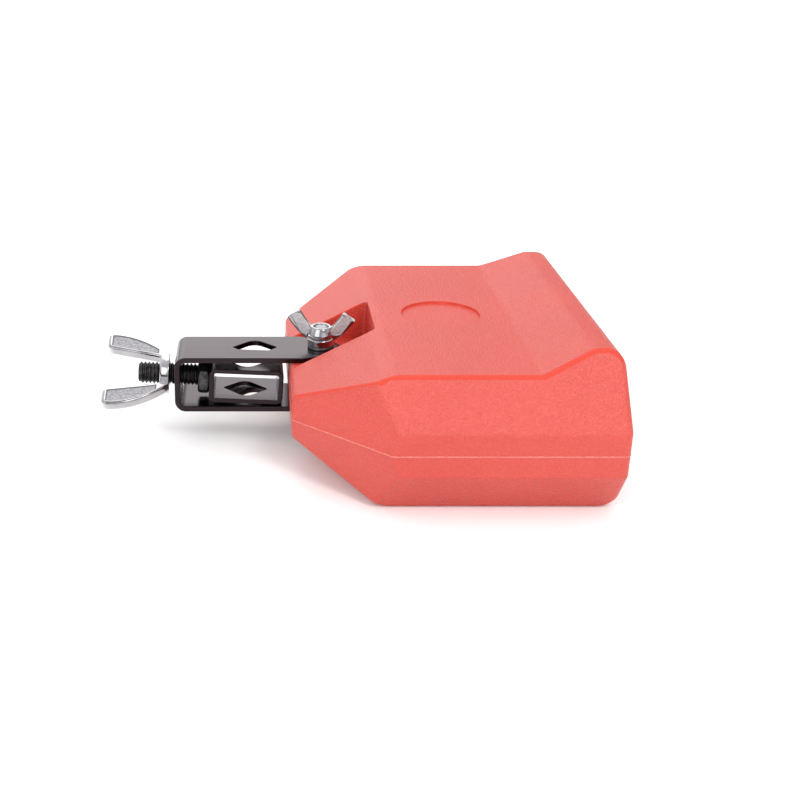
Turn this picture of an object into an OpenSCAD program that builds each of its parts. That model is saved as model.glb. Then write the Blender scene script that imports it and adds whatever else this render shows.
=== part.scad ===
// Percussion block with a rod clamp.
// A hollow moulded block carries a U-shaped strap bracket on a vertical bolt.
// A ring inside the bracket is drawn back by a wing nut and grips a vertical rod.
// Origin: the middle of the flat underside. +X runs to the striking lip, +Z is up.

/* [Block] */
// Length of the block, back end to front end
block_l = 106.6; // [88:0.2:128]
// Width of the block over its side bands
block_w = 142.4; // [118:0.2:171]
// Height of the block without its lip
block_h = 46.6; // [42:0.2:56]
// Height of the upright band round the middle of the sides
band_h = 15; // [12:0.5:18]
// Width of the flat top between the two side facets
top_w = 121.2; // [101:0.2:136]
// Width of the back end at mid-height
back_w = 84.2; // [70:0.2:101]
// Length of the slope that thins the block towards its back end
slope_l = 29.9; // [25:0.1:36]
// Length of the corner facets, measured along the block
corner_l = 31.1; // [26:0.1:37]
// Inward lean of the corner facets above and below mid-height, degrees
corner_lean = 9; // [0:0.5:12]
// Thickness of the moulded wall
wall = 4; // [3:0.1:4.8]

/* [Lip and mouth] */
// Length of the raised striking lip
lip_l = 27.7; // [23:0.1:33]
// Height of the lip above the flat top
lip_h = 7.2; // [5:0.1:9]
// Length of the lip's flat crest
crest_l = 4.2; // [2:0.1:6]
// Radius of the lip's front edge
lip_r = 6; // [4:0.1:7]
// Radius of the bottom front edge
toe_r = 6; // [4:0.1:7.2]
// Set-back of the front face between the band and the lip
front_draft = 1; // [0:0.1:2]
// Width of the sound slot in the front face
mouth_w = 100; // [80:1:120]
// Height of the sound slot
mouth_h = 9; // [6:0.1:11]
// Diameter of the blank round recess in the top
disc_d = 28; // [20:0.2:34]
// Depth of the blank recess
disc_depth = 0.9; // [0.4:0.1:1.5]
// Distance of the recess's centre behind the start of the lip
disc_back = 24.2; // [20:0.1:29]

/* [Bracket] */
// Width of the bracket strap
strap_w = 23; // [19:0.1:26]
// Thickness of the bracket strap
strap_t = 2; // [1.6:0.1:2.4]
// Outside height of the bracket
bracket_h = 20.8; // [19:0.1:23]
// Distance from the pivot bolt to the bracket's closed end
bracket_reach = 53; // [52.5:0.1:60]
// Outside radius of the bracket's bends
bend_r = 4; // [3:0.1:4.8]
// Distance from the pivot bolt to the middle of the diamond holes
diamond_reach = 24; // [21:0.1:25]
// Length of the diamond holes from tip to tip
diamond_l = 15.6; // [13:0.1:17]
// Radius in the two gripping tips of a diamond hole
tip_r = 0.6; // [0.3:0.1:1]
// Radius in the two side corners of a diamond hole
side_r = 3.5; // [2.5:0.1:4]
// Radius of the rounded nose at the end of each arm
nose_r = 7.6; // [6.5:0.1:9]
// Distance behind the pivot bolt at which the arms start to narrow
nose_start = 7.4; // [6:0.1:9]

/* [Clamp] */
// Outside diameter of the clamp stud
stud_d = 7.94; // [6.6:0.01:8.6]
// Length of thread that shows beyond the wing nut's hub
stud_tail = 7.7; // [6.4:0.1:9.3]
// Length of the clamp ring
ring_l = 26.8; // [24:0.1:28]
// Outside height of the clamp ring
ring_h = 13; // [12:0.1:13.4]
// Width of the clamp ring's strap
ring_w = 21.7; // [18.1:0.1:24]
// Thickness of the clamp ring's strap
ring_t = 1.7; // [1.4:0.1:2]
// Outside radius of the clamp ring's corners
ring_r = 2.5; // [2.1:0.1:3]
// Gap between the clamp ring and the back end of the block
ring_gap = 2.1; // [1.9:0.1:3]
// Drop of the loose ring at its front end, which its slack stud allows
ring_drop = 1.6; // [0:0.1:1.9]
// Width of the lock nut across its flats
lock_af = 12.7; // [11:0.1:14]
// Thickness of the lock nut
lock_t = 4.2; // [3.5:0.1:5]

/* [Clamp wing nut] */
// Span of the wings
wing_span = 35.5; // [30:0.1:42]
// Length from the nut's base to its wing tips
wing_l = 24; // [20:0.1:28]
// Thickness of the wings
wing_t = 4; // [3.3:0.1:4.8]
// Length of the hub along the stud
hub_l = 3.8; // [3.2:0.1:4.6]
// Diameter of the hub at its base
hub_d = 15; // [13:0.1:17]
// Gap between the nut and the closed end of the bracket
nut_gap = 2.2; // [1:0.1:4]
// Turn of the wings from level, degrees
wing_turn = 25; // [0:1:90]

/* [Pivot] */
// Diameter of the pivot bolt
pivot_d = 4.83; // [4.1:0.01:5.4]
// Distance of the pivot bolt from the back end of the block
pivot_inset = 11.7; // [11:0.1:13.5]
// Width of the pocket that holds a bracket arm
pocket_w = 31.2; // [29:0.1:37]
// Length of the pocket
pocket_l = 29.7; // [25:0.1:35]
// Diameter of the lock washer under the small wing nut
spring_d = 9.6; // [8:0.1:11]
// Thickness of the lock washer
spring_t = 1; // [0.8:0.1:1.3]
// Diameter of the flat washer under the lower arm
washer_d = 12.7; // [10.6:0.1:15]
// Thickness of the flat washer
washer_t = 1; // [0.8:0.1:1.3]
// Width of the bolt head across its flats
head_af = 7.94; // [6.7:0.1:9.5]
// Thickness of the bolt head
head_t = 3; // [2.5:0.1:3.6]
// Span of the small wing nut
small_span = 24.6; // [21:0.1:28]
// Height of the small wing nut over its wing tips
small_h = 13.6; // [11.3:0.1:16.4]
// Height of the small wing nut's hub
small_hub_h = 7.3; // [6.1:0.1:8.8]
// Turn of the small wing nut, degrees
small_turn = -14; // [-90:1:90]

/* [Hidden] */

// Smoothness of round features, and of the short arcs in outlines
round_fn = 64;
arc_steps = 8;
// Overshoot of cutters past the faces they cut
cut = 2;
// Radial running clearance of a shaft in a hole, and the sliding gap between flat faces
run_gap = 0.08;
slide_gap = 0.05;
// Radial play of the stud in the bracket's closed end, which lets it droop
web_play = 0.78;
// Sides of a hexagon nut or head, and the angle at which its corners are turned off
hex_sides = 6;
hex_turned = 30;

// Places along the block
x_back = -(block_l - toe_r + slope_l) / 2;
x_front = x_back + block_l;
x_lip = x_front - lip_l;
x_pivot = x_back + pivot_inset;
x_web = x_pivot - bracket_reach;
x_disc = x_lip - disc_back;
mid_z = block_h / 2;
band_z = mid_z + band_h / 2;
peak_z = block_h + lip_h;
// Slopes of the back, of the side facets and of the corner facets
back_slope = atan2(block_h - band_z, slope_l);
facet_slope = atan2(block_h - band_z, (block_w - top_w) / 2);
corner_turn = atan2((block_w - back_w) / 2, corner_l);
// Half of a size that is larger than the whole model
far = block_w + block_l;

// Bracket heights
arm_top = mid_z + bracket_h / 2;
arm_bottom = mid_z - bracket_h / 2;
neck_h = bracket_h - 2 * (strap_t + slide_gap);

// Clamp places, measured along the stud from the middle of the bracket's closed end
stud_r = stud_d / 2;
web_hole_r = stud_r + web_play;
ring_end = x_back - ring_gap - x_web - strap_t / 2;
ring_start = ring_end - ring_l;
stud_end = ring_start + ring_t;
droop = asin(ring_drop / ring_end);
nut_face = -(strap_t / 2 + nut_gap);
stud_chamfer = 0.8;
stud_l = stud_end - nut_face + hub_l + stud_tail;

// Pivot hardware places
pivot_r = pivot_d / 2;
small_base = arm_top + spring_t;
bolt_inset = 0.3;
bolt_top = small_base + small_hub_h - bolt_inset;
head_top = arm_bottom - washer_t;

// Height of a sloped face over the outer edge of the block, for a wall inset by t
function slope_foot(t, slope) = band_z + t * tan(slope) - t / cos(slope);
// Distance from the outer edge at which a sloped face meets the top, for an inset t
function slope_run(t, slope) = (block_h - t - band_z + t / cos(slope)) / tan(slope);
// Points along an arc, from angle a to angle b about the point c
function arc(c, r, a, b) =
    [for (i = [0:arc_steps]) c + r * [cos(a + (b - a) * i / arc_steps),
                                      sin(a + (b - a) * i / arc_steps)]];
// Reverses the height of an outline's points about mid-height, and their order
function flipped(points) =
    [for (i = [len(points) - 1:-1:0]) [points[i][0], block_h - points[i][1]]];

// ---------- Block ----------

// Back half of the side outline, from the underside up to the top
function back_outline(t) = concat(
    flipped([[x_back + t, slope_foot(t, back_slope)],
             [x_back + slope_run(t, back_slope), block_h - t]]),
    [[x_back + t, slope_foot(t, back_slope)],
     [x_back + slope_run(t, back_slope), block_h - t]]);

// Lip, front face and rounded toe, from the top down to the underside
function front_outline() = concat(
    [[x_lip, block_h],
     [x_front - front_draft - lip_r - crest_l, peak_z]],
    arc([x_front - front_draft - lip_r, peak_z - lip_r], lip_r, 90, 0),
    [[x_front, band_z]],
    arc([x_front - toe_r, toe_r], toe_r, 0, -90));

// Stands an outline up in the XZ plane, w wide along Y
module side_slab(points, w) {
    rotate([90, 0, 0])
        linear_extrude(height = w, center = true)
            polygon(points);
}

// Cross-section of the block with its two side facets, inset by t, up to height z_top
module cross_slab(t, z_top) {
    half = block_w / 2 - t;
    foot = slope_foot(t, facet_slope);
    run = slope_run(t, facet_slope);
    // The facets carry on upwards beside the lip
    up = (z_top - block_h + t) / tan(facet_slope);
    right = [[block_w / 2 - run, t],
             [half, block_h - foot],
             [half, foot],
             [block_w / 2 - run - up, z_top]];
    left = [for (i = [len(right) - 1:-1:0]) [-right[i][0], right[i][1]]];
    rotate([90, 0, 90])
        linear_extrude(height = 2 * far, center = true)
            polygon(concat(right, left));
}

// The four back corner facets as cutters, moved inwards by t
module corner_cutters(t) {
    for (side = [0, 1], half = [0, 1])
        mirror([0, side, 0])
            translate([x_back, back_w / 2, mid_z])
                mirror([0, 0, half])
                    rotate([0, 0, corner_turn])
                        rotate([corner_lean, 0, 0])
                            translate([-far, -t, -far])
                                cube([2 * far, far, 2 * far]);
}

// The moulding without pockets, hollow or mouth
module outer_form() {
    difference() {
        intersection() {
            side_slab(concat(back_outline(0), front_outline()), 2 * far);
            cross_slab(0, peak_z);
        }
        corner_cutters(0);
    }
}

// The space inside the moulded wall, kept clear of the solid core behind the pockets
module hollow() {
    difference() {
        intersection() {
            side_slab(concat(back_outline(wall),
                             [[x_front - wall, block_h - wall],
                              [x_front - wall, wall]]), 2 * far);
            cross_slab(wall, block_h - wall);
        }
        corner_cutters(wall);
        translate([x_back - cut, -pocket_w / 2 - wall, -cut])
            cube([pocket_l + wall + cut, pocket_w + 2 * wall, block_h + 2 * cut]);
    }
}

// Plan of a pocket, with rounded corners at its closed end
module pocket_plan() {
    corner_r = 2;
    x_end = x_back + pocket_l;
    translate([x_back - cut, -pocket_w / 2])
        square([pocket_l + cut - corner_r, pocket_w]);
    translate([x_back - cut, -pocket_w / 2 + corner_r])
        square([pocket_l + cut, pocket_w - 2 * corner_r]);
    for (s = [-1, 1])
        translate([x_end - corner_r, s * (pocket_w / 2 - corner_r)])
            circle(r = corner_r, $fn = round_fn);
}

// Long slot with round ends through the front wall
module mouth() {
    end_y = (mouth_w - mouth_h) / 2;
    translate([x_front - 2 * wall, -end_y, mid_z - mouth_h / 2])
        cube([2 * wall + cut, 2 * end_y, mouth_h]);
    for (s = [-1, 1])
        translate([x_front - 2 * wall, s * end_y, mid_z])
            rotate([0, 90, 0])
                cylinder(d = mouth_h, h = 2 * wall + cut, $fn = round_fn);
}

module block_shell() {
    color("red")
    difference() {
        outer_form();
        hollow();
        mouth();
        for (half = [0, 1])
            translate([0, 0, mid_z])
                mirror([0, 0, half])
                    translate([0, 0, neck_h / 2])
                        linear_extrude(height = block_h)
                            pocket_plan();
        translate([x_disc, 0, block_h - disc_depth])
            cylinder(d = disc_d, h = disc_depth + cut, $fn = round_fn);
        translate([x_pivot, 0, 0])
            cylinder(r = pivot_r + run_gap, h = block_h, $fn = round_fn);
    }
}

// ---------- Bracket ----------

// Square hole standing on its tips: crisp gripping tips, well rounded side corners
module diamond_plan() {
    reach = diamond_l / 2 + tip_r * (sqrt(2) - 1);
    tip = [reach - tip_r * sqrt(2), 0];
    side = [0, reach - side_r * sqrt(2)];
    polygon(concat(arc(tip, tip_r, -45, 45),
                   arc(side, side_r, 45, 135),
                   arc(-tip, tip_r, 135, 225),
                   arc(-side, side_r, 225, 315)));
}

// Bar in the XZ plane that starts with two rounded corners at x_start
module rounded_end(x_start, x_stop, h, r) {
    translate([x_start + r, -h / 2])
        square([x_stop - x_start - r, h]);
    translate([x_start, -h / 2 + r])
        square([r + cut, h - 2 * r]);
    for (s = [-1, 1])
        translate([x_start + r, s * (h / 2 - r)])
            circle(r = r, $fn = round_fn);
}

// Plan of the bracket: straight strap, then a taper to a round nose about the pivot
module bracket_plan() {
    half = strap_w / 2;
    // The taper touches the nose where a line from the strap's corner is tangent to it
    reach = norm([nose_start, half]);
    touch = atan2(half, -nose_start) - acos(nose_r / reach);
    touch_at = nose_r * [cos(touch), sin(touch)];
    translate([x_pivot, 0]) {
        polygon([[-bracket_reach, -half],
                 [-nose_start, -half],
                 [touch_at[0], -touch_at[1]],
                 touch_at,
                 [-nose_start, half],
                 [-bracket_reach, half]]);
        circle(r = nose_r, $fn = round_fn);
    }
}

module bracket() {
    x_stop = x_pivot + nose_r + cut;
    color("dimgray")
    difference() {
        intersection() {
            translate([0, 0, mid_z])
                rotate([90, 0, 0])
                    linear_extrude(height = strap_w, center = true)
                        difference() {
                            rounded_end(x_web, x_stop, bracket_h, bend_r);
                            rounded_end(x_web + strap_t, x_stop + cut,
                                        bracket_h - 2 * strap_t, bend_r - strap_t);
                        }
            linear_extrude(height = block_h)
                bracket_plan();
        }
        translate([x_pivot - diamond_reach, 0, 0])
            linear_extrude(height = block_h)
                diamond_plan();
        translate([x_pivot, 0, 0])
            cylinder(r = pivot_r + run_gap, h = block_h, $fn = round_fn);
        translate([x_web - cut, 0, mid_z])
            rotate([0, 90, 0])
                cylinder(r = web_hole_r, h = strap_t + 2 * cut, $fn = round_fn);
    }
}

// ---------- Clamp ----------

// Puts the clamp's parts on the drooping stud axis: local +X runs along the stud
module on_stud() {
    translate([x_web + strap_t / 2, 0, mid_z])
        rotate([0, droop, 0])
            children();
}

// Rounded rectangle in the XZ plane
module loop_outline(x_start, l, h, r) {
    translate([x_start + r, -h / 2])
        square([l - 2 * r, h]);
    translate([x_start, -h / 2 + r])
        square([l, h - 2 * r]);
    for (x = [x_start + r, x_start + l - r], s = [-1, 1])
        translate([x, s * (h / 2 - r)])
            circle(r = r, $fn = round_fn);
}

module clamp_ring() {
    color("dimgray")
    on_stud()
    difference() {
        rotate([90, 0, 0])
            linear_extrude(height = ring_w, center = true)
                difference() {
                    loop_outline(ring_start, ring_l, ring_h, ring_r);
                    loop_outline(ring_start + ring_t, ring_l - 2 * ring_t,
                                 ring_h - 2 * ring_t, ring_r - ring_t);
                }
        translate([ring_start + ring_l / 2, 0, -ring_h])
            linear_extrude(height = 2 * ring_h)
                diamond_plan();
        translate([ring_start - cut, 0, 0])
            rotate([0, 90, 0])
                cylinder(r = stud_r, h = ring_t + 2 * cut, $fn = round_fn);
    }
}

module clamp_stud() {
    color("black")
    on_stud()
    translate([stud_end - stud_l, 0, 0])
        rotate([0, 90, 0]) {
            cylinder(r1 = stud_r - stud_chamfer, r2 = stud_r, h = stud_chamfer,
                     $fn = round_fn);
            translate([0, 0, stud_chamfer])
                cylinder(r = stud_r, h = stud_l - stud_chamfer, $fn = round_fn);
        }
}

// Hexagonal prism with its corners turned off at the far end
module hexagon(af, h) {
    corner_d = af / cos(180 / hex_sides);
    turned_h = (corner_d - af) / 2 * tan(hex_turned);
    intersection() {
        cylinder(d = corner_d, h = h, $fn = hex_sides);
        union() {
            cylinder(d = corner_d, h = h - turned_h, $fn = round_fn);
            translate([0, 0, h - turned_h])
                cylinder(d1 = corner_d, d2 = af, h = turned_h, $fn = round_fn);
        }
    }
}

module clamp_lock_nut() {
    color("black")
    on_stud()
    translate([ring_start, 0, 0])
        rotate([0, -90, 0])
            difference() {
                hexagon(lock_af, lock_t);
                translate([0, 0, -cut])
                    cylinder(r = stud_r, h = lock_t + 2 * cut, $fn = round_fn);
            }
}

// One wing: local X is the distance from the axis and local Y the height over the base.
// Its outer edge swells from the hub as a power of a sine and ends level at the tip.
module wing_outline() {
    root_inset = 0.7;
    root_r = hub_d / 2 - root_inset;
    tip_x = wing_span / 2;
    tip_w = 7.4;
    outer_r = 2;
    inner_r = 1.5;
    swell = 0.8;
    steps = 16;
    // Inner edge: how far it runs in by half height, and the fillet at the hub
    waist_in = 1.6;
    fillet = 1;
    inner_x = tip_x - tip_w;
    bore_side = stud_r + fillet;
    top = wing_l - outer_r;
    outer = [for (i = [0:steps - 1])
        [root_r + (tip_x - root_r) * pow(sin(90 * i / steps), swell), top * i / steps]];
    polygon(concat(outer,
                   arc([tip_x - outer_r, top], outer_r, 0, 90),
                   arc([inner_x + inner_r, wing_l - inner_r], inner_r, 90, 180),
                   [[inner_x - waist_in, wing_l / 2],
                    [root_r, hub_l + fillet],
                    [bore_side, hub_l / 2],
                    [bore_side, 0]]));
}

module clamp_wing_nut() {
    hub_taper = 2;
    color("silver")
    on_stud()
    translate([nut_face, 0, 0])
        rotate([wing_turn, 0, 0])
            rotate([0, -90, 0])
                difference() {
                    union() {
                        cylinder(d1 = hub_d, d2 = hub_d - hub_taper, h = hub_l,
                                 $fn = round_fn);
                        for (s = [-1, 1])
                            rotate([90, 0, 90 * s])
                                linear_extrude(height = wing_t, center = true)
                                    wing_outline();
                    }
                    translate([0, 0, -cut])
                        cylinder(r = stud_r + run_gap, h = wing_l, $fn = round_fn);
                }
}

// ---------- Pivot ----------

module pivot_bolt() {
    color("silver")
    translate([x_pivot, 0, 0]) {
        translate([0, 0, head_top])
            mirror([0, 0, 1])
                hexagon(head_af, head_t);
        translate([0, 0, head_top])
            cylinder(r = pivot_r, h = bolt_top - head_top, $fn = round_fn);
    }
}

// Flat ring about the pivot bolt, standing on height z
module pivot_ring(z, d, t) {
    translate([x_pivot, 0, z])
        difference() {
            cylinder(d = d, h = t, $fn = round_fn);
            translate([0, 0, -cut])
                cylinder(r = pivot_r + run_gap, h = t + 2 * cut, $fn = round_fn);
        }
}

module pivot_flat_washer() {
    color("silver")
    pivot_ring(head_top, washer_d, washer_t);
}

// Split ring: one narrow gap cut through one side
module pivot_lock_washer() {
    split = 0.8;
    color("gray")
    difference() {
        pivot_ring(arm_top, spring_d, spring_t);
        translate([x_pivot, -split / 2, arm_top - cut])
            cube([spring_d, split, spring_t + 2 * cut]);
    }
}

// One upswept wing of the small nut: local X is the distance from the axis, local Y up.
// A strip leans outwards from the hub to a slightly domed tip.
module small_wing_outline() {
    lean = 54;
    strip_w = 5.2;
    dome = 0.5;
    // Distance of the strip's foot from the bore, and its share of the hub's height
    foot_out = 1.6;
    foot_share = 0.46;
    wall_min = 0.4;
    along = [cos(lean), sin(lean)];
    side = strip_w / 2 * [sin(lean), -cos(lean)];
    tip = [small_span / 2, small_h] - [side[0], -side[1]] - dome * [0, 1];
    root = [pivot_r + foot_out, foot_share * small_hub_h];
    inner_x = pivot_r + wall_min;
    polygon([root + side,
             tip + side,
             tip + side / 2 + dome * along,
             tip - side / 2 + dome * along,
             tip - side,
             root - side,
             [inner_x, root[1] - side[1]],
             [inner_x, root[1]]]);
}

module pivot_wing_nut() {
    collar_d = 9.8;
    collar_h = 3;
    // Groove between the collar and the cone above it
    groove_depth = 0.5;
    groove_w = 0.4;
    hub_top_d = 6.8;
    small_t = 2.5;
    groove_top = collar_h + groove_w;
    color("silver")
    translate([x_pivot, 0, small_base])
        rotate([0, 0, small_turn])
            difference() {
                union() {
                    cylinder(d = collar_d, h = collar_h, $fn = round_fn);
                    cylinder(d = collar_d - 2 * groove_depth, h = groove_top,
                             $fn = round_fn);
                    translate([0, 0, groove_top])
                        cylinder(d1 = collar_d, d2 = hub_top_d,
                                 h = small_hub_h - groove_top, $fn = round_fn);
                    for (s = [0, 180])
                        rotate([90, 0, s])
                            linear_extrude(height = small_t, center = true)
                                small_wing_outline();
                }
                translate([0, 0, -cut])
                    cylinder(r = pivot_r + run_gap, h = small_h + 2 * cut,
                             $fn = round_fn);
            }
}

block_shell();
bracket();
clamp_ring();
clamp_stud();
clamp_lock_nut();
clamp_wing_nut();
pivot_bolt();
pivot_flat_washer();
pivot_lock_washer();
pivot_wing_nut();
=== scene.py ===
"""Looks of a hollow percussion block whose strap bracket clamps onto a vertical rod.

Everything is in metres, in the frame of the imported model: the origin is the middle of the
block's flat underside, +X runs to the striking lip and +Z is up.
"""

import math

import bmesh
import bpy
import numpy as np
from mathutils import Euler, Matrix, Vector


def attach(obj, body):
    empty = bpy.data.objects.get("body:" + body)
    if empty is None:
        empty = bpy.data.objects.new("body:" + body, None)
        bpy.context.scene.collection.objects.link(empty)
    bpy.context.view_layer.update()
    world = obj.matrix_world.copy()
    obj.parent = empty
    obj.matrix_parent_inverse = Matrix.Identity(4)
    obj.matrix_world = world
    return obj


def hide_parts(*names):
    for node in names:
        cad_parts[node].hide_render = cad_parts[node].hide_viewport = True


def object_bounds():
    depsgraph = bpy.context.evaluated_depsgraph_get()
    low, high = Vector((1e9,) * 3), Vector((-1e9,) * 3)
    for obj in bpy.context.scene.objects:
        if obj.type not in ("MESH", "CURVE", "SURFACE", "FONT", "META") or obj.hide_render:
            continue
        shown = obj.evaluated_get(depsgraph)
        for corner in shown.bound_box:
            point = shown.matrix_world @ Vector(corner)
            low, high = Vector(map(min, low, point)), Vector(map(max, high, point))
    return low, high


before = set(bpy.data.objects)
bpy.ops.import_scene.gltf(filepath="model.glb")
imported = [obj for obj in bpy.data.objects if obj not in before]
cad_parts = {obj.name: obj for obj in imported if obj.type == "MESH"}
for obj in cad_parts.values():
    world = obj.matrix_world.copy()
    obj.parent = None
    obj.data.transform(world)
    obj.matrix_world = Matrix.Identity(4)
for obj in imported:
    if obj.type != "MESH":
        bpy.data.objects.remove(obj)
cad_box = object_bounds()
scene = bpy.context.scene
MM = 0.001


# ---------------------------------------------------------------- Studio
# The block lies on a wide white table. Five soft boxes hang over it and round it, and the
# walls are white, so the light is even and the shadow under the block is short and faint.

camera_pitch = 23.02  # degrees below level
camera_data = bpy.data.cameras.new("camera")
camera_data.sensor_width = 36
camera_data.lens = 55.8
camera_data.shift_x = 0.190
camera_data.clip_start = 0.01
camera = bpy.data.objects.new("camera", camera_data)
camera.location = (-80.07 * MM, -424.4 * MM, 193.0 * MM)
camera.rotation_euler = Euler((math.radians(90 - camera_pitch), 0, 0))
scene.collection.objects.link(camera)
scene.camera = camera
scene.view_settings.view_transform = "Standard"


class Value:
    """A number socket in a node tree. Sums on it add Math nodes, also with plain numbers."""

    def __init__(self, tree, socket):
        self.tree = tree
        self.socket = socket

    def math(self, operation, *terms):
        """One Math node over the given terms, in their order."""
        node = self.tree.nodes.new("ShaderNodeMath")
        node.operation = operation
        for slot, term in zip(node.inputs, terms):
            if isinstance(term, Value):
                self.tree.links.new(term.socket, slot)
            else:
                slot.default_value = term
        return Value(self.tree, node.outputs[0])

    def __add__(self, other):
        return self.math("ADD", self, other)

    def __sub__(self, other):
        return self.math("SUBTRACT", self, other)

    def __rsub__(self, other):
        return self.math("SUBTRACT", other, self)

    def __mul__(self, other):
        return self.math("MULTIPLY", self, other)

    __radd__ = __add__
    __rmul__ = __mul__

    def between(self, low, high):
        """0 below low, 1 above high and a straight ramp between, held inside 0 and 1."""
        ramp = (self - low) * (1 / (high - low))
        return self.math("MINIMUM", self.math("MAXIMUM", ramp, 0), 1)


class Nodes:
    """A node tree, and the one way in which nodes are added to it."""

    def __init__(self, tree):
        self.tree = tree

    def node(self, kind, settings=None, sockets=None, output=0):
        """A node of that kind with its settings made first, then its sockets filled or linked."""
        node = self.tree.nodes.new(kind)
        for key, value in (settings or {}).items():
            setattr(node, key, value)
        for key, value in (sockets or {}).items():
            slot = node.inputs[key]
            if isinstance(value, Value):
                self.tree.links.new(value.socket, slot)
            else:
                slot.default_value = value
        return Value(self.tree, node.outputs[output])


class Finish(Nodes):
    """One material: a Principled shader and the nodes that feed it."""

    def __init__(self, name, **constants):
        self.material = bpy.data.materials.new(name)
        self.material.use_nodes = True
        super().__init__(self.material.node_tree)
        self.shader = self.tree.nodes["Principled BSDF"]
        for socket, value in constants.items():
            self.shader.inputs[socket.replace("_", " ")].default_value = value

    def place(self, stretch=(1, 1, 1)):
        """Object coordinates, stretched along each axis."""
        spot = self.node("ShaderNodeTexCoord", output=3)
        return self.node("ShaderNodeMapping", sockets={"Vector": spot, "Scale": stretch})

    def noise(self, scale, detail=2, roughness=0.5, stretch=(1, 1, 1)):
        """Cloudy noise from 0 to 1, scale features to the metre."""
        sockets = {"Vector": self.place(stretch), "Scale": scale, "Detail": detail,
                   "Roughness": roughness}
        return self.node("ShaderNodeTexNoise", sockets=sockets)

    def facing(self, low, high):
        """0 where the surface faces the eye, 1 where it is seen edge-on, ramped between two
        levels: plated metal throws back more light the flatter it is seen."""
        return self.node("ShaderNodeLayerWeight", sockets={"Blend": 0.5},
                         output=1).between(low, high)

    def blend(self, share, first, second):
        """Mixes two colours by a share from 0 to 1."""
        return self.node("ShaderNodeMix", {"data_type": "RGBA"},
                         {0: share, 6: first, 7: second}, 2)

    def bump(self, height, distance):
        """A surface normal from a height in units of distance."""
        return self.node("ShaderNodeBump", sockets={"Height": height, "Distance": distance,
                                                    "Strength": 1.0})

    def feed(self, **links):
        """Links values to the shader's own sockets and gives back the material."""
        for socket, value in links.items():
            self.tree.links.new(value.socket, self.shader.inputs[socket.replace("_", " ")])
        return self.material


def add_object(name, mesh):
    """Puts a mesh into the scene as an object at the origin."""
    item = bpy.data.objects.new(name, mesh)
    scene.collection.objects.link(item)
    return item


def studio_sheet(name, size, height):
    """A level square sheet of the given size, centred under the object."""
    mesh = bpy.data.meshes.new(name)
    half = size / 2
    mesh.from_pydata([(-half, -half, height), (half, -half, height),
                      (half, half, height), (-half, half, height)], [], [(0, 1, 2, 3)])
    return add_object(name, mesh)


table = studio_sheet("table", 12, cad_box[0][2] - 0.02 * MM)
paper = Finish("white_table", Roughness=0.9, Specular_IOR_Level=0.1)
cloud = paper.noise(9, 2)
table.data.materials.append(paper.feed(
    Base_Color=paper.blend(cloud, (0.93, 0.93, 0.93, 1), (0.95, 0.95, 0.95, 1))))


def soft_box(name, place, size, power):
    """A square area light of that size at a place, aimed just above the table's middle."""
    data = bpy.data.lights.new(name, "AREA")
    data.shape = "SQUARE"
    data.size = size
    data.energy = power
    light = bpy.data.objects.new(name, data)
    light.location = place
    aim = Vector((0, 0, 0.02)) - light.location
    light.rotation_euler = aim.to_track_quat("-Z", "Y").to_euler()
    scene.collection.objects.link(light)


soft_box("top_light", (-0.15, 0.70, 1.25), 0.9, 4)
soft_box("back_light", (-0.30, 1.25, 0.42), 0.8, 1.5)
soft_box("gloss_light", (0.36, -0.82, 0.95), 0.4, 4.5)
soft_box("right_light", (0.45, -1.25, 0.30), 0.8, 1.8)
soft_box("left_light", (-0.82, -0.92, 0.70), 0.9, 5.8)

world = bpy.data.worlds.new("white_room")
world.use_nodes = True
scene.world = world
room = Nodes(world.node_tree)
direction = room.node("ShaderNodeTexCoord")
climb = room.node("ShaderNodeSeparateXYZ", sockets={0: direction}, output=2)
walls = room.node("ShaderNodeValToRGB", sockets={0: climb})
stops = walls.socket.node.color_ramp.elements
stops.remove(stops[-1])
for place, tone in ((0.0, 0.12), (0.09, 0.15), (0.24, 1.02), (0.6, 1.12)):
    stop = stops.new(place) if place else stops[0]
    stop.color = (tone, tone, tone, 1)
room.tree.links.new(walls.socket, room.tree.nodes["Background"].inputs["Color"])


# ---------------------------------------------------------------- Block shell
# One hollow moulded shell of red plastic: the mould left a fine leather grain on its faces
# and rounded every edge. The pockets for the bracket and the sound slot are cut through it.

BACK, FRONT, LIP = -65.25 * MM, 41.35 * MM, 13.65 * MM
HALF_W, HALF_TOP, HALF_BACK = 71.2 * MM, 60.6 * MM, 42.1 * MM
TOP, PEAK, MIDDLE, BAND = 46.6 * MM, 53.8 * MM, 23.3 * MM, 30.8 * MM
SLOPE_RUN, CHAMFER_RUN, CHAMFER_LEAN = 29.9 * MM, 31.1 * MM, math.radians(9)
PEAK_RUN, NOSE_R, NOSE_SET = 11.2 * MM, 6 * MM, 1 * MM
EDGE_R, FOLD_R, LIP_R = 2.4 * MM, 13 * MM, 6 * MM
WALL, PAST = 4 * MM, 5 * MM
POCKET_HALF, POCKET_RUN, POCKET_R = 15.6 * MM, 29.7 * MM, 2 * MM
POCKET_FLOOR, POCKET_ROOF = 31.65 * MM, 14.95 * MM
MOUTH_HALF, MOUTH_R = 45.5 * MM, 4.5 * MM
DISC_X, DISC_R, DISC_DEPTH = -10.55 * MM, 14 * MM, 0.9 * MM
SLOT_RIM, DISC_RIM, POCKET_RIM = 1.0 * MM, 0.35 * MM, 0.45 * MM
PIVOT, BORE_R = -53.55 * MM, 2.495 * MM
POCKET_END = BACK + POCKET_RUN


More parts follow.
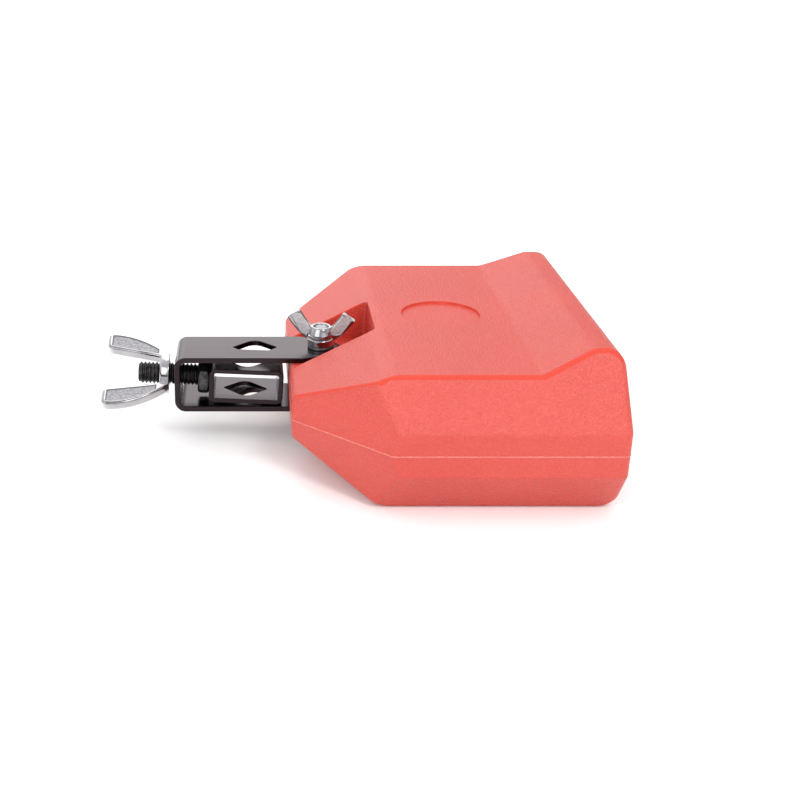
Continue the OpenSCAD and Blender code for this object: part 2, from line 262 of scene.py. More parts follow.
def prism(outline, low, high, axis="Y"):
    """A closed bmesh: an outline of (x, z) points carried along Y, or (x, y) along Z."""
    work = bmesh.new()
    outline = np.asarray(outline, float)
    ends = []
    for level in (low, high):
        column = np.full(len(outline), level)
        points = np.column_stack([outline[:, 0], column, outline[:, 1]] if axis == "Y"
                                 else [outline[:, 0], outline[:, 1], column])
        ends.append([work.verts.new(point) for point in points])
    work.faces.new(ends[0])
    work.faces.new(reversed(ends[1]))
    for here in range(len(outline)):
        there = (here + 1) % len(outline)
        work.faces.new((ends[0][there], ends[0][here], ends[1][here], ends[1][there]))
    bmesh.ops.recalc_face_normals(work, faces=work.faces)
    return work


def shave(work, point, normal):
    """Cuts away what lies beyond a plane and closes the cut with one face."""
    everything = list(work.verts) + list(work.edges) + list(work.faces)
    cut = bmesh.ops.bisect_plane(work, geom=everything, plane_co=point, plane_no=normal,
                                 dist=1e-7, clear_outer=True)
    rim = [part for part in cut["geom_cut"] if isinstance(part, bmesh.types.BMEdge)]
    bmesh.ops.contextual_create(work, geom=rim)


def arc_points(centre, radius, start, stop, steps=12):
    """Points of an arc: the centre plus the radius times cosine and sine of the angle."""
    turn = np.radians(np.linspace(start, stop, steps + 1))
    return np.column_stack([centre[0] + radius * np.cos(turn),
                            centre[1] + radius * np.sin(turn)]).tolist()


def moulded_form(inset=0.0):
    """The moulding's side outline carried across, then shaved to its eight slanted facets.
    A positive inset gives the room inside the wall, which stops at a flat front."""
    slope = math.atan2(TOP - BAND, SLOPE_RUN)
    low = BAND + inset * math.tan(slope) - inset / math.cos(slope)
    run = (TOP - inset - low) / math.tan(slope)
    start, foot = BACK + inset, 2 * MIDDLE - low
    back = [(start + run, inset), (start, foot), (start, low), (start + run, TOP - inset)]
    if inset:
        front = [(FRONT - inset, TOP - inset), (FRONT - inset, inset)]
    else:
        nose = (FRONT - NOSE_SET - NOSE_R, PEAK - NOSE_R)
        front = [(LIP, TOP), (FRONT - PEAK_RUN, PEAK)] + arc_points(nose, NOSE_R, 90, 0) \
            + [(FRONT, BAND)] + arc_points((FRONT - NOSE_R, NOSE_R), NOSE_R, 0, -90)
    work = prism(back + front, inset - HALF_W, HALF_W - inset)
    side = Vector((0, TOP - BAND, HALF_W - HALF_TOP)).normalized()
    turn = math.atan2(HALF_W - HALF_BACK, CHAMFER_RUN)
    corner = Vector((-math.sin(turn), math.cos(turn), math.tan(CHAMFER_LEAN))).normalized()
    for across in (-1, 1):
        for up in (-1, 1):
            flip = Vector((1, across, up))
            for point, normal in ((Vector((0, HALF_W, BAND - MIDDLE)), side),
                                  (Vector((BACK, HALF_BACK, 0)), corner)):
                place = (point - normal * inset) * flip
                shave(work, place + Vector((0, 0, MIDDLE)), normal * flip)
    bmesh.ops.recalc_face_normals(work, faces=work.faces)
    return work


def to_object(work, name):
    """Turns a bmesh into an object."""
    mesh = bpy.data.meshes.new(name)
    work.to_mesh(mesh)
    work.free()
    return add_object(name, mesh)


def settle(item):
    """Bakes an object's modifiers into its mesh."""
    shape = item.evaluated_get(bpy.context.evaluated_depsgraph_get())
    mesh = bpy.data.meshes.new_from_object(shape)
    item.modifiers.clear()
    item.data = mesh


def carve(item, *cutters):
    """Takes the cutters out of an object, one after another, and removes them."""
    for cutter in cutters:
        cut = item.modifiers.new("cut", "BOOLEAN")
        cut.operation = "DIFFERENCE"
        cut.solver = "EXACT"
        cut.object = cutter
        settle(item)
        bpy.data.objects.remove(cutter)


def edge_turn(edge):
    """How far the surface turns over an edge, in radians."""
    return edge.calc_face_angle(0) if len(edge.link_faces) == 2 else 0


def soften(item, radius_at, segments, least_turn, slot=0):
    """Rounds the edges that turn by more than least_turn degrees. A fillet of radius r that
    turns by an angle starts r times the tangent of half the angle from the edge."""
    widest = 4 * MM
    work = bmesh.new()
    work.from_mesh(item.data)
    weight = work.edges.layers.float.get("bevel_weight_edge") \
        or work.edges.layers.float.new("bevel_weight_edge")
    for edge in work.edges:
        turn = edge_turn(edge)
        middle = (edge.verts[0].co + edge.verts[1].co) / 2
        edge[weight] = 0
        if turn > math.radians(least_turn):
            edge[weight] = min(radius_at(middle, edge) * math.tan(turn / 2) / widest, 1)
    work.to_mesh(item.data)
    work.free()
    bevel = item.modifiers.new("rounding", "BEVEL")
    bevel.limit_method = "WEIGHT"
    bevel.width = widest
    bevel.segments = segments
    bevel.material = slot
    bevel.use_clamp_overlap = False
    settle(item)
    clear = item.data.attributes.get("bevel_weight_edge")
    if clear:
        item.data.attributes.remove(clear)


def form_radius(middle, edge):
    """Wide folds where the top meets the back slope and the lip, small ones elsewhere."""
    across = abs((edge.verts[1].co - edge.verts[0].co).normalized().y) > 0.95
    if across and abs(middle.x - (BACK + SLOPE_RUN)) < EDGE_R:
        return FOLD_R
    if across and LIP - EDGE_R < middle.x < FRONT - PEAK_RUN + EDGE_R:
        return LIP_R
    return EDGE_R


def rim_radius(middle, edge):
    """Crisp rims at the pockets, the bore and the disc, and along the room's ceiling under
    it, and a softer one round the sound slot. The pocket ends lie in the fold's own
    rounding, so they stay as they are cut."""
    close = 0.1 * MM
    if middle.x > FRONT - PEAK_RUN:
        return SLOT_RIM
    if abs(middle.x - DISC_X) < DISC_R + close and middle.z > TOP - WALL - close:
        return DISC_RIM
    if -POCKET_R - close < middle.x - POCKET_END < close \
            and abs(middle.z - MIDDLE) > POCKET_FLOOR - MIDDLE + close:
        return 0
    return POCKET_RIM


def leather_red(name, first, second, roughness, depth, **constants):
    """Moulded plastic in two near tones, with pebbled grain of the given depth."""
    red = Finish(name, **constants)
    pebbles = red.node("ShaderNodeTexVoronoi", {"feature": "SMOOTH_F1"},
                       {"Vector": red.place(), "Scale": 1500, "Smoothness": 0.5})
    creases = red.noise(2300, 3, 0.65)
    drift = red.noise(24, 3)
    height = pebbles * 0.8 + creases * 0.6
    tone = (pebbles * 0.2 + creases * 0.5 + drift * 0.3).between(0.34, 0.64)
    gloss = (drift - 0.5) * 0.16 + (creases - 0.5) * 0.12 + roughness
    return red.feed(Base_Color=red.blend(tone, first, second), Roughness=gloss,
                    Normal=red.bump(height, depth))


shell = to_object(moulded_form(), "block_shell_moulded")
shell.data.materials.append(leather_red(
    "red_grained", (0.50, 0.027, 0.014, 1), (0.59, 0.052, 0.030, 1), 0.38, 0.28 * MM,
    IOR=1.5, Specular_IOR_Level=0.78))
shell.data.materials.append(leather_red(
    "red_rubbed", (0.54, 0.042, 0.022, 1), (0.61, 0.056, 0.032, 1), 0.48, 0.08 * MM,
    IOR=1.5, Specular_IOR_Level=0.25))
soften(shell, form_radius, 6, 12, slot=1)
for face in shell.data.polygons:
    if abs(face.normal.y) < 0.05 or abs(face.normal.z) < 0.6:
        face.material_index = 0
room_inside = to_object(moulded_form(WALL), "room")
core_end, core_half = POCKET_END + WALL, POCKET_HALF + WALL
core = [(BACK - PAST, -core_half), (core_end, -core_half), (core_end, core_half),
        (BACK - PAST, core_half)]
carve(room_inside, to_object(prism(core, -PAST, PEAK + PAST, "Z"), "core"))
turn_x, turn_y = POCKET_END - POCKET_R, POCKET_HALF - POCKET_R
pocket = [(BACK - PAST, -POCKET_HALF)] + arc_points((turn_x, -turn_y), POCKET_R, -90, 0, 8) \
    + arc_points((turn_x, turn_y), POCKET_R, 0, 90, 8) + [(BACK - PAST, POCKET_HALF)]
slot_ends = arc_points((MOUTH_HALF, MIDDLE), MOUTH_R, -90, 90, 16) \
    + arc_points((-MOUTH_HALF, MIDDLE), MOUTH_R, 90, 270, 16)
mouth = prism(slot_ends, -FRONT - PAST, 2 * WALL - FRONT)
mouth.transform(Euler((0, 0, math.pi / 2)).to_matrix().to_4x4())
disc = arc_points((DISC_X, 0), DISC_R, 0, 360, 72)[:-1]
bore = arc_points((PIVOT, 0), BORE_R, 0, 360, 40)[:-1]
carve(shell, room_inside, to_object(mouth, "mouth"),
      to_object(prism(pocket, POCKET_FLOOR, PEAK + PAST, "Z"), "upper_pocket"),
      to_object(prism(pocket, -PAST, POCKET_ROOF, "Z"), "lower_pocket"),
      to_object(prism(disc, TOP - DISC_DEPTH, PEAK + PAST, "Z"), "disc"),
      to_object(prism(bore, 0, PEAK + PAST, "Z"), "bore"))
soften(shell, rim_radius, 3, 48, slot=1)


def even_shading(item, sharp=38):
    """Smooth shading in which the large flat faces keep their own direction."""
    item.data.shade_smooth()
    item.data.set_sharp_from_angle(angle=math.radians(sharp))
    even = item.modifiers.new("even_shading", "WEIGHTED_NORMAL")
    even.keep_sharp = True
    even.weight = 100


even_shading(shell)
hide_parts("block_shell")
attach(shell, "block")


# ---------------------------------------------------------------- Parting bead
# The two halves of the mould met at mid-height and left a low ridge of the same plastic
# all round the block; its lighter pink colour is a painted highlight for the light the
# ridge catches. It stops at both ends of the sound slot.

def woven(points, around=True, through=False):
    """A closed mesh over a grid of points, row by row. Each row is a closed ring if around
    is set; the last row joins the first if through is set, else both ends are capped."""
    rows, columns = points.shape[:2]
    index = np.arange(rows * columns).reshape(rows, columns)
    wide = np.hstack([index, index[:, :1]]) if around else index
    tall = np.vstack([wide, wide[:1]]) if through else wide
    quads = np.stack([tall[:-1, :-1], tall[:-1, 1:], tall[1:, 1:], tall[1:, :-1]], -1)
    faces = quads.reshape(-1, 4).tolist()
    if not through:
        faces += [index[0, ::-1].tolist(), index[-1].tolist()]
    mesh = bpy.data.meshes.new("woven")
    mesh.from_pydata(points.reshape(-1, 3), [], faces)
    work = bmesh.new()
    work.from_mesh(mesh)
    bmesh.ops.recalc_face_normals(work, faces=work.faces)
    bpy.data.meshes.remove(mesh)
    return work


BEAD_PROUD, BEAD_HALF, BEAD_SUNK = 0.16 * MM, 0.24 * MM, 0.4 * MM
BEAD_START = 51.2 * MM


def bead_points():
    """A low half-round profile carried round the block's outline at mid-height."""
    corner = BACK + CHAMFER_RUN
    turn = math.degrees(math.atan2(HALF_W - HALF_BACK, CHAMFER_RUN))
    side_run = EDGE_R * math.tan(math.radians(turn / 2))
    back_run = EDGE_R * math.tan(math.radians(45 - turn / 2))
    half = [(FRONT, BEAD_START)] \
        + arc_points((FRONT - EDGE_R, HALF_W - EDGE_R), EDGE_R, 0, 90, 8) \
        + arc_points((corner + side_run, HALF_W - EDGE_R), EDGE_R, 90, 90 + turn, 6) \
        + arc_points((BACK + EDGE_R, HALF_BACK - back_run), EDGE_R, 90 + turn, 180, 6)
    path = np.array(half + [(x, -y) for x, y in half[::-1]])
    step = np.gradient(path, axis=0)
    step /= np.linalg.norm(step, axis=1)[:, None]
    outward = np.column_stack([step[:, 1], -step[:, 0]])
    outward *= np.sign((outward * (path - [(BACK + FRONT) / 2, 0])).sum(1))[:, None]
    sweep = np.radians(np.linspace(-90, 90, 9))
    proud = np.concatenate([BEAD_PROUD * np.cos(sweep), [-BEAD_SUNK, -BEAD_SUNK]])
    rise = np.concatenate([BEAD_HALF * np.sin(sweep), [BEAD_HALF, -BEAD_HALF]])
    flat = path[:, None, :] + outward[:, None, :] * proud[None, :, None]
    height = np.broadcast_to(MIDDLE + rise, flat.shape[:2])
    return np.dstack([flat, height])


bead = to_object(woven(bead_points()), "parting_bead")
# Painted highlight: the bead's colour is a lighter pink than the block's red, as if the ridge
# caught the light; the noise only varies that tone at random.
bead_lit_paint = Finish("red_bead_painted_highlight", IOR=1.5, Specular_IOR_Level=0.8)
nicks = bead_lit_paint.noise(700, 3)
bead.data.materials.append(bead_lit_paint.feed(
    Base_Color=bead_lit_paint.blend(nicks.between(0.35, 0.65), (0.60, 0.10, 0.075, 1),
                           (0.66, 0.18, 0.145, 1)),
    Roughness=nicks * 0.3 + 0.25, Normal=bead_lit_paint.bump(nicks, 0.02 * MM)))
even_shading(bead, 50)
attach(bead, "block")


# ---------------------------------------------------------------- Bracket
# One strap of steel, folded into a U and punched with two diamond holes for the rod and a
# hole for the stud. It is plated black nickel, and its edges are tumbled round.

STRAP_EDGE_R = 0.35 * MM


def welded_copy(node):
    """An object with a CAD node's shape, its loose triangles merged into whole faces."""
    work = bmesh.new()
    work.from_mesh(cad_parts[node].data)
    bmesh.ops.remove_doubles(work, verts=work.verts, dist=2e-6)
    bmesh.ops.dissolve_limit(work, angle_limit=math.radians(0.6), verts=work.verts,
                             edges=work.edges)
    return to_object(work, node + "_finished")


def black_nickel(name, stretch):
    """Glossy dark plating over lengthwise drawing marks, with faint cloudy patches."""
    plate = Finish(name, Metallic=1.0, Coat_IOR=1.5)
    marks = plate.noise(900, 4, 0.6, stretch)
    cloud = plate.noise(60, 3)
    edge_on = plate.blend(cloud.between(0.3, 0.7), (0.068, 0.054, 0.058, 1),
                          (0.086, 0.069, 0.075, 1))
    colour = plate.blend(plate.facing(0.12, 0.58), (0.030, 0.022, 0.025, 1), edge_on)
    return plate.feed(Base_Color=colour, Roughness=marks * 0.14 + cloud * 0.08 + 0.10,
                      Normal=plate.bump(marks, 0.02 * MM))


def plated_strap(node, body, material):
    """A CAD strap with tumbled edges, in one finish."""
    strap = welded_copy(node)
    soften(strap, lambda middle, edge: STRAP_EDGE_R, 3, 30)
    strap.data.materials.clear()
    strap.data.materials.append(material)
    even_shading(strap)
    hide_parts(node)
    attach(strap, body)


plated_strap("bracket", "bracket", black_nickel("black_nickel", (0.05, 1, 1)))


# ---------------------------------------------------------------- Clamp ring
# A closed loop of thinner strap, welded shut under its stud and plated like the bracket.
# The rod passes through its two diamond holes, and the stud draws it back.

plated_strap("clamp_ring", "clamp", black_nickel("black_nickel_ring", (0.05, 1, 0.4)))


# ---------------------------------------------------------------- Clamp stud
# A 5/16 inch steel stud with 18 threads to the inch, screwed into the ring and blackened.
# It hangs a little slack in the bracket, so the whole clamp droops by 2.4 degrees.

DROOP = math.asin(1.6 / 38.2)
WEB_X = -105.55 * MM
STUD_R, STUD_PITCH, STUD_CHAMFER = 3.97 * MM, 1.4111 * MM, 0.8 * MM
STUD_TAIL, STUD_HEAD = -14.7 * MM, 13.1 * MM


def on_stud(points):
    """Turns points measured along the stud into the block's frame. The stud's zero is the
    middle of the bracket's closed end, and it droops towards the block."""
    x, y, z = np.moveaxis(np.asarray(points, float), -1, 0)
    return np.stack([WEB_X + x * math.cos(DROOP) + z * math.sin(DROOP), y,
                     MIDDLE - x * math.sin(DROOP) + z * math.cos(DROOP)], -1)


def threaded_rod(radius, pitch, start, stop, chamfer):
    """Rings along a rod. The radius falls from the crest by a clipped triangle wave of the
    length over the pitch less the angle over a full turn, and by 45 degrees at both ends."""
    depth = 0.45 * pitch
    rings_a_turn = 12
    turn = np.linspace(0, 2 * np.pi, 56, endpoint=False)
    along = np.linspace(start, stop, int((stop - start) / pitch * rings_a_turn))[:, None]
    wave = np.abs(2 * ((along / pitch - turn / (2 * np.pi)) % 1) - 1)
    crest = np.clip((wave - 0.12) / 0.7, 0, 1)
    cone = radius - chamfer + np.minimum(along - start, stop - along)
    reach = np.minimum(radius - depth * (1 - crest), cone)
    return np.stack([np.broadcast_to(along, reach.shape), reach * np.cos(turn),
                     reach * np.sin(turn)], -1)


def blackened(name):
    """Black oxide on steel, slightly oily, with dull and shiny spots."""
    oxide = Finish(name, Metallic=0.9)
    spots = oxide.noise(700, 4, 0.6)
    colour = oxide.blend(spots.between(0.4, 0.7), (0.030, 0.028, 0.030, 1),
                         (0.085, 0.080, 0.084, 1))
    return oxide.feed(Base_Color=colour, Roughness=spots * 0.3 + 0.2,
                      Normal=oxide.bump(spots, 0.03 * MM))


stud = to_object(woven(on_stud(threaded_rod(STUD_R, STUD_PITCH, STUD_TAIL, STUD_HEAD,
                                            STUD_CHAMFER))), "clamp_stud_threaded")
stud.data.materials.append(blackened("black_oxide"))
even_shading(stud, 70)
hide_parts("clamp_stud")
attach(stud, "clamp")


# ---------------------------------------------------------------- Lock nut
# A thin hexagon nut of blackened steel, run up against the ring so the stud can't turn.
# Its corners are turned off on both faces.

NUT_FLATS, NUT_LOW, NUT_HIGH = 12.7 * MM, 7.2 * MM, 11.38 * MM


def hexagon_rings(flats, low, high, bore, turned_low, turned_high):
    """Rings of a hexagon nut, from its bore over one face, the side and the other face.
    The side's radius is half the flats over the cosine of the angle to the nearest flat,
    and a 30 degree cone cuts its corners at the turned ends."""
    turn = np.radians(np.arange(0, 360, 3.75))
    side = flats / 2 / np.cos((turn + np.pi / 6) % (np.pi / 3) - np.pi / 6)
    face = np.full_like(turn, flats / 2 * 0.94)
    drop = (side - face) * math.tan(math.radians(30))
    level = np.ones_like(turn)
    mouth = min(0.35 * MM, bore)
    rings = [(bore * level, (low + mouth) * level), ((bore + mouth) * level, low * level),
             (face if turned_low else side, low * level),
             (side, low + drop * turned_low), (side, high - drop * turned_high),
             (face if turned_high else side, high * level),
             ((bore + mouth) * level, high * level), (bore * level, (high - mouth) * level)]
    return np.array([np.column_stack([along, reach * np.cos(turn), reach * np.sin(turn)])
                     for reach, along in rings])


lock_nut = to_object(woven(on_stud(hexagon_rings(NUT_FLATS, NUT_LOW, NUT_HIGH, STUD_R, 1, 1)),
                           through=True), "clamp_lock_nut_hex")
soften(lock_nut, lambda middle, edge: 0.25 * MM, 2, 25)
lock_nut.data.materials.clear()
lock_nut.data.materials.append(blackened("black_oxide_nut"))
even_shading(lock_nut, 30)
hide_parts("clamp_lock_nut")
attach(lock_nut, "clamp")


# ---------------------------------------------------------------- Clamp wing nut
# A zinc casting with a chrome finish: two flat wings join in a bright bridge round the
# threaded hub. The wings' faces have sunk, grainy pads inside polished rims.

WING_TURN, NUT_FACE, WING_HALF_T = math.radians(25), -3.2 * MM, 2.0 * MM


def rounded_loop(half_w, half_t, power=0.28, steps=40):
    """A rounded rectangle: half sizes times the cosine and sine, each to a small power."""
    turn = np.linspace(0, 2 * np.pi, steps, endpoint=False)
    across = np.sign(np.cos(turn)) * np.abs(np.cos(turn)) ** power
    through = np.sign(np.sin(turn)) * np.abs(np.sin(turn)) ** power
    return half_w * across, half_t * through


def lathe(profile, steps=96):
    """Rings of (radius, height) points turned about the height axis, height first."""
    turn = np.linspace(0, 2 * np.pi, steps, endpoint=False)
    profile = np.asarray(profile, float)
    return np.stack([np.broadcast_to(profile[:, 1:], (len(profile), steps)),
                     profile[:, :1] * np.cos(turn), profile[:, :1] * np.sin(turn)], -1)


def cast_together(parts, name, grain, smoothing):
    """Melts overlapping closed shapes into one skin of even quads with soft inner corners."""
    whole = bmesh.new()
    for part in parts:
        mesh = bpy.data.meshes.new("part")
        part.to_mesh(mesh)
        part.free()
        whole.from_mesh(mesh)
        bpy.data.meshes.remove(mesh)
    item = to_object(whole, name)
    melt = item.modifiers.new("melt", "REMESH")
    melt.mode = "VOXEL"
    melt.voxel_size = grain
    melt.use_smooth_shade = True
    calm = item.modifiers.new("calm", "SMOOTH")
    calm.factor = 0.5
    calm.iterations = smoothing
    settle(item)
    return item


def wing_outer(height):
    """The outer edge swells from the hub as a power of a sine and ends level at the tip."""
    share = np.clip(height / (22 * MM), 0, 1)
    return (6.8 + 10.95 * np.sin(np.pi / 2 * share) ** 0.8) * MM


def wing_inner(height):
    """The inner edge leans outwards, a little hollow, from the hub to the tip."""
    share = np.clip((height - 3 * MM) / (21 * MM), 0, 1)
    return (5.6 + 3.2 * share ** 0.45 + 1.6 * share ** 2) * MM


def wing_rings():
    """Rounded sections of one wing between its two edges, drawn in at the tip."""
    height = np.concatenate([np.linspace(0.15, 21.5, 34),
                             24 - 2.5 * np.cos(np.radians(np.linspace(15, 86, 12)))]) * MM
    low, high = wing_inner(height), wing_outer(height)
    low = np.where(height < 4 * MM, 5.0 * MM, low)
    over = np.clip((height - 21.5 * MM) / (2.5 * MM), 0, 1)
    pull = 2.0 * MM * (1 - np.sqrt(1 - over ** 2))
    half_w = (high - low) / 2 - pull * 0.85
    centre = (high + low) / 2 - pull * 0.1
    across, through = rounded_loop(1.0, 1.0)
    thick = WING_HALF_T - 0.5 * MM * over ** 3
    return np.stack([np.broadcast_to(height[:, None], (len(height), len(across))),
                     centre[:, None] + half_w[:, None] * across,
                     thick[:, None] * through], -1)


def wing_nut_frame(points, side):
    """Points given as height, distance from the axis and thickness, on the stud's axis."""
    height, reach, through = np.moveaxis(points, -1, 0)
    y = side * (reach * math.cos(WING_TURN) - through * math.sin(WING_TURN))
    z = side * (reach * math.sin(WING_TURN) + through * math.cos(WING_TURN))
    return on_stud(np.stack([NUT_FACE - height, y, z], -1))


hub_profile = np.array([(4.25, 0.45), (4.6, 0.0), (7.2, 0.0), (7.5, 0.3), (7.35, 1.5),
                        (7.0, 3.0), (6.55, 3.6), (5.8, 3.8), (4.6, 3.8), (4.25, 3.45)]) * MM
parts = [woven(wing_nut_frame(lathe(hub_profile), 1), through=True)]
parts += [woven(wing_nut_frame(wing_rings(), side)) for side in (-1, 1)]
wing_nut = cast_together(parts, "clamp_wing_nut_cast", 0.24 * MM, 4)


def press_pads(item, local, edges, half_t, margin, rise, low, high, depth):
    """Sinks the pads: between the wing's inner and outer edges, less a margin, a face point
    moves inwards by the depth. The share that is sunk is kept as the attribute pad."""
    inner, outer = edges
    mesh = item.data
    points = np.empty(len(mesh.vertices) * 3)
    normals = np.empty(len(mesh.vertices) * 3)
    mesh.vertices.foreach_get("co", points)
    mesh.vertex_normals.foreach_get("vector", normals)
    points, normals = points.reshape(-1, 3), normals.reshape(-1, 3)
    height, reach, through = local(points)
    inside = np.minimum.reduce([reach - inner(height) - margin, outer(height) - margin - reach,
                                height - low, high - height])
    sunk = np.clip(inside / rise, 0, 1)
    sunk = sunk * sunk * (3 - 2 * sunk)
    off = np.abs(through)
    sunk *= np.clip((off - half_t + 0.55 * MM) / (0.2 * MM), 0, 1) * (off < half_t + 0.3 * MM)
    points -= normals * (sunk * depth)[:, None]
    mesh.vertices.foreach_set("co", points.ravel())
    pad = mesh.attributes.new("pad", "FLOAT", "POINT")
    pad.data.foreach_set("value", sunk)
    mesh.update()


def wing_nut_local(points):
    """Height over the nut's base, distance along the wings and distance off their plane."""
    x = points[:, 0] - WEB_X
    z = points[:, 2] - MIDDLE
    along = x * math.cos(DROOP) - z * math.sin(DROOP)
    up = x * math.sin(DROOP) + z * math.cos(DROOP)
    reach = points[:, 1] * math.cos(WING_TURN) + up * math.sin(WING_TURN)
    through = -points[:, 1] * math.sin(WING_TURN) + up * math.cos(WING_TURN)
    return NUT_FACE - along, np.abs(reach), through


press_pads(wing_nut, wing_nut_local, (wing_inner, wing_outer), half_t=WING_HALF_T,
           margin=1.15 * MM, rise=0.45 * MM, low=4.5 * MM, high=22.4 * MM, depth=0.32 * MM)


def cast_chrome(name, pitting, pit, land):
    """Chrome over a casting: mirror bright where polished, grey and grainy in the pads, with
    a painted shade line along each pad's border, where the sunk pad meets its polished rim."""
    chrome = Finish(name, Metallic=1.0)
    pad = chrome.node("ShaderNodeAttribute", {"attribute_name": "pad"}, output=2)
    grain = chrome.noise(pitting, 4, 0.7)
    flow = chrome.noise(160, 2)
    toward = chrome.blend(flow.between(0.35, 0.65), (0.16, 0.155, 0.165, 1),
                          (0.34, 0.33, 0.35, 1))
    bright = chrome.blend(chrome.facing(0.10, 0.50), toward, (0.66, 0.64, 0.66, 1))
    dull = chrome.blend(grain.between(0.36, 0.64), pit + (1,), land + (1,))
    face = chrome.blend(pad, bright, dull)
    # Painted shade: the colour darkens to near black along each pad's border, standing for the
    # shade in the crease where the sunk pad meets its rim.
    border = (pad * (1 - pad) * 3).between(0, 1)
    height = grain * (pad * 0.9 + 0.04) + flow * 0.25
    return chrome.feed(Base_Color=chrome.blend(border, face, (0.05, 0.05, 0.055, 1)),
                       Roughness=pad * (grain * 0.25 + 0.25) + flow * 0.06 + 0.06,
                       Normal=chrome.bump(height, 0.10 * MM))


wing_nut.data.materials.append(cast_chrome("cast_chrome", 1500, (0.17, 0.17, 0.18),
                                           (0.42, 0.41, 0.43)))
wing_nut.data.shade_smooth()
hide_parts("clamp_wing_nut")
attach(wing_nut, "clamp_nut")


# ---------------------------------------------------------------- Pivot bolt
# A number 10 machine bolt of bright zinc-plated steel, pushed up from the lower pocket.
# Its threaded end shows inside the small wing nut, its hexagon head underneath.

BOLT_R, BOLT_PITCH, BOLT_CHAMFER, BOLT_END = 2.415 * MM, 1.0583 * MM, 0.5 * MM, 41.7 * MM
HEAD_FLATS, HEAD_LOW, HEAD_HIGH = 7.94 * MM, 8.9 * MM, 11.9 * MM


def upright(points, base=0.0):
    """Points given as height, then two level distances, about the pivot bolt."""
    height, across, through = np.moveaxis(points, -1, 0)
    return np.stack([PIVOT + across, through, base + height], -1)


def bright_zinc(name, tone):
    """Zinc plating: silvery with a faint blue cast, small spangles and fine scratches."""
    zinc = Finish(name, Metallic=1.0)
    spangle = zinc.noise(900, 3, 0.6)
    scratch = zinc.noise(2600, 2, 0.5, (1, 0.15, 1))
    dark = tuple(channel * 0.7 for channel in tone)
    colour = zinc.blend(spangle.between(0.3, 0.7), dark + (1,), tone + (1,))
    return zinc.feed(Base_Color=colour, Roughness=spangle * 0.2 + scratch * 0.12 + 0.2,
                     Normal=zinc.bump(scratch + spangle, 0.015 * MM))


shank = woven(upright(threaded_rod(BOLT_R, BOLT_PITCH, HEAD_HIGH, BOLT_END, BOLT_CHAMFER)))
shank_mesh = bpy.data.meshes.new("shank")
shank.to_mesh(shank_mesh)
shank.free()
head = woven(upright(hexagon_rings(HEAD_FLATS, HEAD_LOW, HEAD_HIGH, 0.4 * MM, 1, 0)),
             through=True)
head.from_mesh(shank_mesh)
bpy.data.meshes.remove(shank_mesh)
bolt = to_object(head, "pivot_bolt_threaded")
bolt.data.materials.append(bright_zinc("bright_zinc", (0.46, 0.46, 0.48)))
even_shading(bolt, 45)
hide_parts("pivot_bolt")
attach(bolt, "pivot_bolt")


# ---------------------------------------------------------------- Washers
# A stamped flat washer of zinc-plated steel spreads the load of the bolt head. Under the
# small wing nut sits a split lock washer of darker spring steel.

WASHER_BORE, WASHER_R, WASHER_T = 2.5 * MM, 6.35 * MM, 1.0 * MM
SPRING_R, SPRING_LOW, SPRING_T, SPRING_GAP = 4.8 * MM, 33.7 * MM, 1.0 * MM, 0.09


def ring_profile(inner, outer, low, high, corner):
    """The cross-section of a flat ring with rounded corners, as (radius, height) points."""
    points = []
    for r, z, start in ((outer - corner, high - corner, 90), (outer - corner, low + corner, 0),
                        (inner + corner, low + corner, -90),
                        (inner + corner, high - corner, -180)):
        points += arc_points((r, z), corner, start, start - 90, 4)
    return points


flat_profile = ring_profile(WASHER_BORE, WASHER_R, HEAD_HIGH, HEAD_HIGH + WASHER_T, 0.25 * MM)
washer = to_object(woven(upright(lathe(flat_profile)), through=True),
                   "pivot_flat_washer_stamped")
washer.data.materials.append(bright_zinc("bright_zinc_washer", (0.62, 0.63, 0.65)))
even_shading(washer, 40)
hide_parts("pivot_flat_washer")
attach(washer, "pivot_bolt")


def split_ring(profile, gap):
    """A ring's profile carried round from one side of its split to the other."""
    turn = np.linspace(gap, 2 * np.pi - gap, 72)[:, None]
    profile = np.asarray(profile, float)
    return np.stack([np.broadcast_to(profile[:, 1], (len(turn), len(profile))),
                     profile[:, 0] * np.cos(turn), profile[:, 0] * np.sin(turn)], -1)


spring_profile = ring_profile(WASHER_BORE, SPRING_R, SPRING_LOW, SPRING_LOW + SPRING_T,
                              0.2 * MM)
spring = to_object(woven(upright(split_ring(spring_profile, SPRING_GAP))),
                   "pivot_lock_washer_split")
spring.data.materials.append(bright_zinc("dark_spring_steel", (0.20, 0.20, 0.21)))
even_shading(spring, 40)
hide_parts("pivot_lock_washer")
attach(spring, "bracket")


# ---------------------------------------------------------------- Small wing nut
# A chromed casting on the pivot bolt: a collar, a groove and a cone-shaped hub with two
# strap-like wings that sweep up and out. The wings' faces are left grainy.

SMALL_BASE = SPRING_LOW + SPRING_T
SMALL_TURN = math.radians(-14)
STRIP_HALF_T = 1.25 * MM


def small_frame(points, side=1):
    """Points given as height, reach and thickness, turned with the nut about the bolt."""
    height, reach, through = np.moveaxis(points, -1, 0)
    x = side * (reach * math.cos(SMALL_TURN) - through * math.sin(SMALL_TURN))
    y = side * (reach * math.sin(SMALL_TURN) + through * math.cos(SMALL_TURN))
    return np.stack([PIVOT + x, y, SMALL_BASE + height], -1)


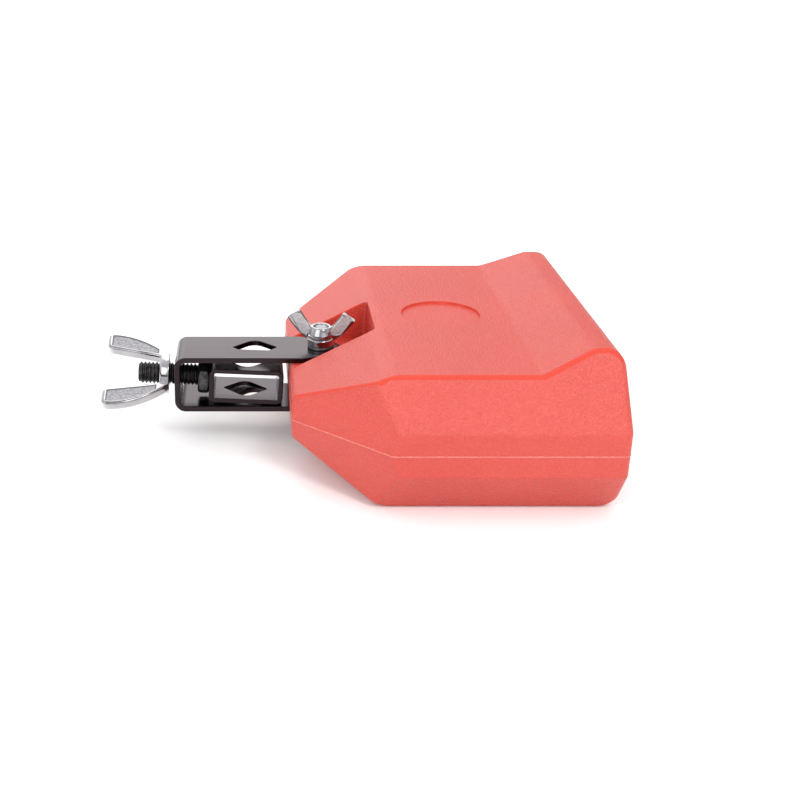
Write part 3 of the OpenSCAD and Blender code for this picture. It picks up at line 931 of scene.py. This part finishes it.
def swept_strip():
    """Rounded sections carried along a quadratic curve from the hub to the wing's tip, each
    square to the curve. The strip widens a little and its end is slightly domed."""
    share = np.linspace(0, 1, 40)[:, None]
    start, bend, end = np.array([[2.9, 3.9], [6.4, 5.4], [10.15, 11.35]]) * MM
    path = (1 - share) ** 2 * start + 2 * share * (1 - share) * bend + share ** 2 * end
    along = 2 * (1 - share) * (bend - start) + 2 * share * (end - bend)
    along /= np.linalg.norm(along, axis=1)[:, None]
    side = np.column_stack([along[:, 1], -along[:, 0]])
    width = (2.3 + 0.35 * share) * MM
    across, through = rounded_loop(1.0, STRIP_HALF_T, 0.3, 40)
    dome = 0.45 * MM * (1 - across ** 2) * share ** 12
    reach = path[:, :1] + side[:, :1] * width * across + along[:, :1] * dome
    height = path[:, 1:] + side[:, 1:] * width * across + along[:, 1:] * dome
    return np.stack([height, reach, np.broadcast_to(through, reach.shape)], -1)


small_hub = np.array([(2.55, 0.3), (2.8, 0.0), (4.6, 0.0), (4.9, 0.35), (4.9, 2.6),
                      (4.6, 2.95), (4.15, 3.1), (4.15, 3.35), (4.75, 3.5), (4.95, 3.85),
                      (4.8, 4.6), (4.2, 6.0), (3.75, 6.9), (3.45, 7.25), (3.1, 7.3),
                      (2.75, 7.1), (2.62, 6.6), (2.55, 5.6)]) * MM
parts = [woven(small_frame(lathe(small_hub)), through=True)]
parts += [woven(small_frame(swept_strip(), side)) for side in (-1, 1)]
small_nut = cast_together(parts, "pivot_wing_nut_cast", 0.15 * MM, 3)


def small_local(points):
    """Height over the nut's base, distance along the wings and distance off their plane."""
    x = points[:, 0] - PIVOT
    reach = x * math.cos(SMALL_TURN) + points[:, 1] * math.sin(SMALL_TURN)
    through = -x * math.sin(SMALL_TURN) + points[:, 1] * math.cos(SMALL_TURN)
    return points[:, 2] - SMALL_BASE, np.abs(reach), through


def strip_inner(height):
    """Inner edge of the leaning strip: its reach grows with the height."""
    return (3.3 + 0.55 * (height / MM - 7.4)) * MM


def strip_outer(height):
    """Outer edge of the leaning strip, wide near the hub and straight above it."""
    return (7.9 + 0.62 * (height / MM - 4.2)) * MM


press_pads(small_nut, small_local, (strip_inner, strip_outer), half_t=STRIP_HALF_T,
           margin=0.75 * MM, rise=0.3 * MM, low=4.4 * MM, high=12.2 * MM, depth=0.18 * MM)
small_nut.data.materials.append(cast_chrome("cast_chrome_small", 2200, (0.34, 0.34, 0.35),
                                            (0.66, 0.65, 0.67)))
small_nut.data.shade_smooth()
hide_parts("pivot_wing_nut")
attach(small_nut, "pivot_nut")
